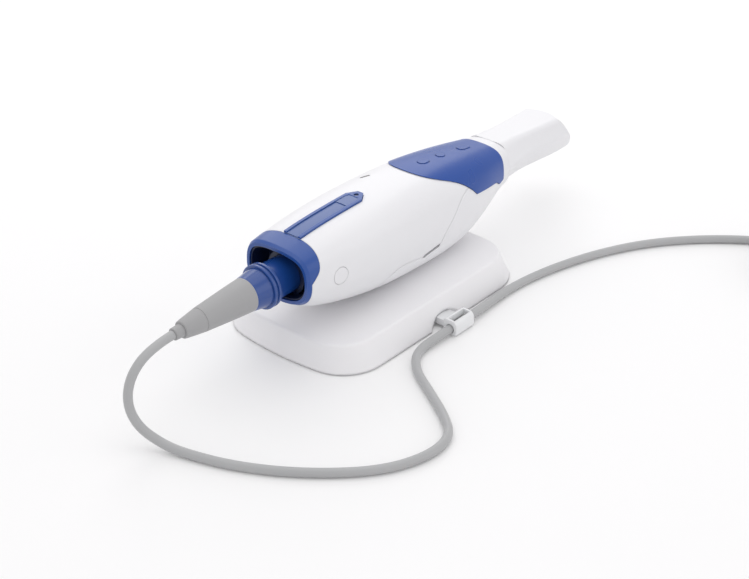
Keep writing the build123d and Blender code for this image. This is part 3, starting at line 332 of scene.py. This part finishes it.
def make_rib_tree():
    """Half-round bars in a row, for the ribs of a grip."""
    tree = bpy.data.node_groups.new("grip_ribs", "GeometryNodeTree")
    group_socket(tree, "First Rib", "NodeSocketVector")
    group_socket(tree, "Next Rib", "NodeSocketVector")
    group_socket(tree, "Half Length", "NodeSocketVector")
    group_socket(tree, "Radius", "NodeSocketFloat")
    group_socket(tree, "Count", "NodeSocketInt")
    group_socket(tree, "Finish", "NodeSocketMaterial")
    group_socket(tree, "Ribs", "NodeSocketGeometry", inward=False)
    add = tree.nodes.new
    wire = tree.links.new
    entry = add("NodeGroupInput")
    leave = add("NodeGroupOutput")
    row = add("GeometryNodeMeshLine")
    other_way = add("ShaderNodeVectorMath")
    other_way.operation = "SCALE"
    other_way.inputs["Scale"].default_value = -1.0
    spine = add("GeometryNodeCurvePrimitiveLine")
    section = add("GeometryNodeCurvePrimitiveCircle")
    section.inputs["Resolution"].default_value = 12
    bar = add("GeometryNodeCurveToMesh")
    bar.inputs["Fill Caps"].default_value = True
    copies = add("GeometryNodeInstanceOnPoints")
    real = add("GeometryNodeRealizeInstances")
    finish = add("GeometryNodeSetMaterial")
    wire(entry.outputs["Count"], row.inputs["Count"])
    wire(entry.outputs["First Rib"], row.inputs["Start Location"])
    wire(entry.outputs["Next Rib"], row.inputs["Offset"])
    wire(entry.outputs["Half Length"], other_way.inputs[0])
    wire(other_way.outputs["Vector"], spine.inputs["Start"])
    wire(entry.outputs["Half Length"], spine.inputs["End"])
    wire(entry.outputs["Radius"], section.inputs["Radius"])
    wire(spine.outputs["Curve"], bar.inputs["Curve"])
    wire(section.outputs["Curve"], bar.inputs["Profile Curve"])
    wire(row.outputs["Mesh"], copies.inputs["Points"])
    wire(bar.outputs["Mesh"], copies.inputs["Instance"])
    wire(copies.outputs["Instances"], real.inputs["Geometry"])
    wire(real.outputs["Geometry"], finish.inputs["Geometry"])
    wire(entry.outputs["Finish"], finish.inputs["Material"])
    wire(finish.outputs["Geometry"], leave.inputs["Ribs"])
    return tree


def plain_mesh(maker):
    """The evaluated mesh of an object with modifiers, which is then removed."""
    bpy.context.scene.collection.objects.link(maker)
    graph = bpy.context.evaluated_depsgraph_get()
    mesh = bpy.data.meshes.new_from_object(maker.evaluated_get(graph))
    bpy.data.objects.remove(maker)
    return mesh


rib_tree = make_rib_tree()
rib_maker = bpy.data.objects.new("rib_maker", bpy.data.meshes.new("rib_maker"))
rib_row = rib_maker.modifiers.new("ribs", "NODES")
rib_row.node_group = rib_tree
rib_sizes = {
    "First Rib": ((grip_low.x + grip_high.x) / 2, grip_low.y + rib_margin + rib_pitch, grip_high.z),
    "Next Rib": (0.0, rib_pitch, 0.0),
    "Half Length": ((grip_high.x - grip_low.x) / 2 - rib_margin, 0.0, 0.0),
    "Radius": rib_radius,
    "Count": rib_count,
    "Finish": grip_grey,
}
for item in rib_tree.interface.items_tree:
    if item.name in rib_sizes:
        rib_row[item.identifier] = rib_sizes[item.name]
far_plug_ribs = bpy.data.objects.new("far_plug_ribs", plain_mesh(rib_maker))
far_plug_ribs.data.shade_smooth()
far_plug_ribs.data.set_sharp_from_angle(angle=math.radians(60))
put_in_scene(far_plug_ribs)


# Socket bay: the dark well behind the collar, with the gilt contacts that the plug meets.
# It is glass filled nylon, moulded in one and screwed in from inside.
bay_navy = moulding("bay_navy", (0.006, 0.012, 0.045), (0.009, 0.018, 0.062), (0.03, 0.04, 0.10), 0.40)
dress(bay_navy, "socket_bay")
contact_gold = moulding("contact_gold", (0.75, 0.55, 0.20), (0.82, 0.62, 0.26), (0.86, 0.68, 0.34), 0.25)
set_shader(contact_gold, metallic=1.0)
dress(contact_gold, "socket_contacts")

# Rear collar: the blue end cap that frames the socket bay, with a lobe down its near side.
# It is a hard satin moulding that clamps the rear of the shell.
# The collar's paler edge colour is mostly a painted highlight on its rims.
collar_blue = moulding("collar_blue", (0.010, 0.064, 0.29), (0.015, 0.076, 0.34), (0.07, 0.16, 0.48), 0.32)
set_shader(collar_blue, coat_weight=0.20)
dress(collar_blue, "rear_collar")

# Spine strip: a blue rail let into the top of the shell, with two inlaid panels that take
# the light, and a small dark window over the status lamp at its front end.
rail_blue = moulding("rail_blue", (0.020, 0.075, 0.31), (0.026, 0.090, 0.36), (0.08, 0.17, 0.50), 0.34)
set_shader(rail_blue, coat_weight=0.20)
dress(rail_blue, "spine_strip")
panel_blue = moulding("panel_blue", (0.050, 0.105, 0.31), (0.065, 0.125, 0.35), (0.12, 0.20, 0.44), 0.32)
set_shader(panel_blue, coat_weight=0.25)
dress(panel_blue, "spine_panel_rear", "spine_panel_front")
window_smoke = moulding("window_smoke", (0.015, 0.014, 0.016), (0.03, 0.026, 0.028), (0.1, 0.1, 0.1), 0.10)
set_shader(window_smoke, coat_weight=1.0)
dress(window_smoke, "status_window", "shoulder_sensor")

# Handle shells: white satin mouldings in a main shell and a nose that meet at a fine seam,
# with two round plugs over the case screws. Handling has left slow patches in their gloss.
shell_white = moulding("shell_white", (0.82, 0.82, 0.84), (0.85, 0.85, 0.87), (0.88, 0.88, 0.90), 0.36)
set_shader(shell_white, coat_weight=0.05)
dress(shell_white, "main_shell", "nose_shell", "side_plugs")

# Saddle and keys: soft blue elastomer moulded over the nose end, with three keys that show
# only as faint islands in it.
saddle_blue = moulding(
    "saddle_blue", (0.008, 0.062, 0.31), (0.012, 0.074, 0.36), (0.03, 0.11, 0.44), 0.30, grain=2600, depth=0.06
)
set_shader(saddle_blue, specular_ior_level=0.45)
dress(saddle_blue, "saddle")
key_blue = moulding(
    "key_blue", (0.008, 0.062, 0.31), (0.012, 0.074, 0.36), (0.010, 0.068, 0.34), 0.30, grain=2600, edge=0.0007
)
set_shader(key_blue, specular_ior_level=0.45)
dress(key_blue, "rear_key", "middle_key", "front_key", crease=60)

# Scanning tip: a white sleeve that slides off for the steriliser, with a slanted mirror in
# its end. It is a heat-proof moulding with fine creases along its sides.
tip_white = moulding(
    "tip_white", (0.82, 0.82, 0.84), (0.85, 0.85, 0.87), (0.88, 0.88, 0.90), 0.40, grain=1400, edge=0.00025
)
dress(tip_white, "scanning_tip", crease=18)
tip_silver = moulding(
    "tip_silver", (0.88, 0.89, 0.90), (0.90, 0.91, 0.92), (0.92, 0.93, 0.94), 0.08, depth=0
)
set_shader(tip_silver, metallic=1.0)
dress(tip_silver, "tip_mirror")

# Snout and lens: the dark barrel that the tip slides on, with the optics block behind it.
# Both are matt black mouldings, and the clear front lens is set in the barrel's end.
snout_black = moulding("snout_black", (0.010, 0.010, 0.012), (0.016, 0.016, 0.018), (0.05, 0.05, 0.05), 0.45)
dress(snout_black, "snout", "optics_block")
front_glass = moulding(
    "front_glass", (0.60, 0.70, 0.86), (0.66, 0.76, 0.90), (0.8, 0.85, 0.95), 0.06, depth=0
)
set_shader(front_glass, coat_weight=1.0, transmission_weight=0.85, ior=1.52)
dress(front_glass, "front_lens")

# Stand: a weighted white block with a soft hollow for the handle, a fine spark-eroded grain
# and bowed ends. The steel ballast, the base plate with its screws and the grey mat are below.
stand_white = moulding(
    "stand_white", (0.87, 0.865, 0.88), (0.90, 0.895, 0.91), (0.92, 0.92, 0.93), 0.44, grain=1500, edge=0.0014
)
dress(stand_white, "stand_shell")
base_black = moulding("base_black", (0.02, 0.02, 0.022), (0.03, 0.03, 0.032), (0.07, 0.07, 0.07), 0.5)
dress(base_black, "stand_base_plate")
mat_grey = moulding(
    "mat_grey", (0.10, 0.10, 0.105), (0.14, 0.14, 0.145), (0.2, 0.2, 0.2), 0.7, grain=700, depth=0.3
)
dress(mat_grey, "stand_mat")
dress(plated_steel, "stand_screws", "stand_ballast", "case_screws", "board_posts")

# Cable clip: a small glossy white sleeve with a long window in its top, so that the cord
# shows between two thin walls. It is moulded in one with the neck that grips the stand.
clip_white = moulding(
    "clip_white", (0.80, 0.81, 0.82), (0.84, 0.85, 0.86), (0.92, 0.93, 0.94), 0.20, edge=0.0002
)
set_shader(clip_white, coat_weight=0.40)
clip_low, clip_high = (Vector(corner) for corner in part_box("cable_clip"))
clip_width = 0.0072
clip_axis_y = -0.0473
clip_axis_z = 0.00325
clip_bore = 0.00225
clip_end_wall = 0.0010
window_half = 0.0018
neck_half_length = 0.0045
neck_half_height = 0.0015
neck_overlap = 0.0008
cutter_spare = 0.002
clip_soft_edge = 0.00018


def rounded_outline(low, high, radii, steps=6):
    """Corner points of a rectangle in Y and Z with its four corners rounded, anticlockwise."""
    corners = ((low[0], low[1]), (high[0], low[1]), (high[0], high[1]), (low[0], high[1]))
    inward = ((1, 1), (-1, 1), (-1, -1), (1, -1))
    outline = []
    for number, (corner, way, radius) in enumerate(zip(corners, inward, radii)):
        for step in range(steps + 1):
            angle = math.pi * (1 + number / 2 + step / steps / 2)
            outline.append(
                (
                    corner[0] + way[0] * radius + radius * math.cos(angle),
                    corner[1] + way[1] * radius + radius * math.sin(angle),
                )
            )
    return outline


def bar_along_x(name, outline, start, end):
    """A closed bar of one section in Y and Z."""
    shape = bmesh.new()
    ends = [[shape.verts.new((x, y, z)) for y, z in outline] for x in (start, end)]
    shape.faces.new(list(reversed(ends[0])))
    shape.faces.new(ends[1])
    for number in range(len(outline)):
        after = (number + 1) % len(outline)
        shape.faces.new((ends[0][number], ends[0][after], ends[1][after], ends[1][number]))
    mesh = bpy.data.meshes.new(name)
    shape.to_mesh(mesh)
    shape.free()
    return bpy.data.objects.new(name, mesh)


sleeve_low = (clip_axis_y - clip_width / 2, clip_low.z)
sleeve_high = (clip_axis_y + clip_width / 2, clip_high.z)
sleeve_outline = rounded_outline(sleeve_low, sleeve_high, (0.0009, 0.0009, 0.0012, 0.0028))
clip_maker = bar_along_x("clip_maker", sleeve_outline, clip_low.x, clip_high.x)
neck_outline = rounded_outline(
    (sleeve_high[0] - neck_overlap, clip_axis_z - neck_half_height),
    (clip_high.y, clip_axis_z + neck_half_height),
    (0.0003, 0.0003, 0.0003, 0.0003),
    steps=2,
)
clip_middle = (clip_low.x + clip_high.x) / 2
neck_start = clip_middle - neck_half_length
neck = bar_along_x("clip_neck", neck_outline, neck_start, clip_middle + neck_half_length)
bore_low = (clip_axis_y - clip_bore, clip_axis_z - clip_bore)
bore_high = (clip_axis_y + clip_bore, clip_axis_z + clip_bore)
bore_outline = rounded_outline(bore_low, bore_high, [clip_bore * 0.999] * 4)
bore = bar_along_x("clip_bore", bore_outline, clip_low.x - cutter_spare, clip_high.x + cutter_spare)
window_outline = [
    (clip_axis_y - window_half, clip_axis_z),
    (clip_axis_y + window_half, clip_axis_z),
    (clip_axis_y + window_half, clip_high.z + cutter_spare),
    (clip_axis_y - window_half, clip_high.z + cutter_spare),
]
window = bar_along_x(
    "clip_window", window_outline, clip_low.x + clip_end_wall, clip_high.x - clip_end_wall
)
for other, operation in ((neck, "UNION"), (bore, "DIFFERENCE"), (window, "DIFFERENCE")):
    bpy.context.scene.collection.objects.link(other)
    joining = clip_maker.modifiers.new(other.name, "BOOLEAN")
    joining.operation = operation
    joining.solver = "EXACT"
    joining.object = other
softened = clip_maker.modifiers.new("softened", "BEVEL")
softened.width = clip_soft_edge
softened.segments = 2
softened.limit_method = "ANGLE"
softened.angle_limit = math.radians(40)
cord_clip = bpy.data.objects.new("cord_clip", plain_mesh(clip_maker))
for tool in (neck, bore, window):
    bpy.data.objects.remove(tool)
cord_clip.data.materials.append(clip_white)
cord_clip.data.shade_smooth()
cord_clip.data.set_sharp_from_angle(angle=math.radians(35))
put_in_scene(cord_clip)
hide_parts("cable_clip")

# Inner works: a die-cast frame plate and heat sink, green boards on posts with their chips,
# and the key switches. They are seen only when the shells are off.
cast_aluminium = moulding(
    "cast_aluminium", (0.66, 0.67, 0.69), (0.74, 0.75, 0.76), (0.80, 0.81, 0.82), 0.38
)
set_shader(cast_aluminium, metallic=1.0)
dress(cast_aluminium, "chassis", "heat_sink")
board_green = moulding(
    "board_green", (0.010, 0.12, 0.05), (0.016, 0.17, 0.07), (0.10, 0.20, 0.10), 0.35, grain=400
)
dress(board_green, "key_board", "main_board", "camera_board")
dress(chip_black, "board_chips", "key_switches")

# Table and studio: white paper that runs past the view, a large lamp overhead, a softer one
# behind and a weak fill in front, in a white room. The view sees the paper a little brighter
# than it lights the object.
paper_span = 6.0
paper_mesh = bpy.data.meshes.new("paper")
paper_corners = [(x * paper_span, y * paper_span, 0) for x, y in ((-1, -1), (1, -1), (1, 1), (-1, 1))]
paper_mesh.from_pydata(paper_corners, [], [(0, 1, 2, 3)])
paper = bpy.data.objects.new("paper", paper_mesh)
bpy.context.scene.collection.objects.link(paper)
paper_white = moulding(
    "paper_white", (0.90, 0.90, 0.90), (0.905, 0.905, 0.905), (0.9, 0.9, 0.9), 0.6, edge=0, depth=0
)
set_shader(paper_white, emission_color=(1, 1, 1, 1))
paper_nodes = paper_white.node_tree.nodes
paper_wire = paper_white.node_tree.links.new
paper_lift = 0.045
ray = paper_nodes.new("ShaderNodeLightPath")
seen = paper_nodes.new("ShaderNodeMath")
seen.operation = "MAXIMUM"
seen_in_gloss = paper_nodes.new("ShaderNodeMath")
seen_in_gloss.operation = "MAXIMUM"
lift = paper_nodes.new("ShaderNodeMath")
lift.operation = "MULTIPLY"
lift.inputs[1].default_value = paper_lift
paper_wire(ray.outputs["Is Camera Ray"], seen.inputs[0])
paper_wire(ray.outputs["Is Glossy Ray"], seen.inputs[1])
paper_wire(seen.outputs[0], seen_in_gloss.inputs[0])
paper_wire(ray.outputs["Is Transmission Ray"], seen_in_gloss.inputs[1])
paper_wire(seen_in_gloss.outputs[0], lift.inputs[0])
paper_wire(lift.outputs[0], paper_nodes["Principled BSDF"].inputs["Emission Strength"])
paper_mesh.materials.append(paper_white)


def soft_lamp(name, place, aim, size, power):
    """A soft square lamp that looks at a point."""
    data = bpy.data.lights.new(name, "AREA")
    data.size = size
    data.energy = power
    light = bpy.data.objects.new(name, data)
    light.location = place
    light.rotation_euler = (Vector(aim) - Vector(place)).to_track_quat("-Z", "Y").to_euler()
    bpy.context.scene.collection.objects.link(light)


soft_lamp("overhead_lamp", (0.10, 0.15, 1.40), (0.02, 0, 0.02), 1.5, 4.4)
soft_lamp("back_lamp", (0.80, 0.78, 0.72), (0, 0, 0.03), 0.8, 2.4)
soft_lamp("front_fill", (0.60, -1.20, 0.60), (0, 0, 0.03), 0.9, 1.5)
room = bpy.data.worlds.new("room")
bpy.context.scene.world = room
room.use_nodes = True
room_light = room.node_tree.nodes["Background"]
room_light.inputs["Color"].default_value = (1.0, 0.99, 1.0, 1)
room_light.inputs["Strength"].default_value = 0.80
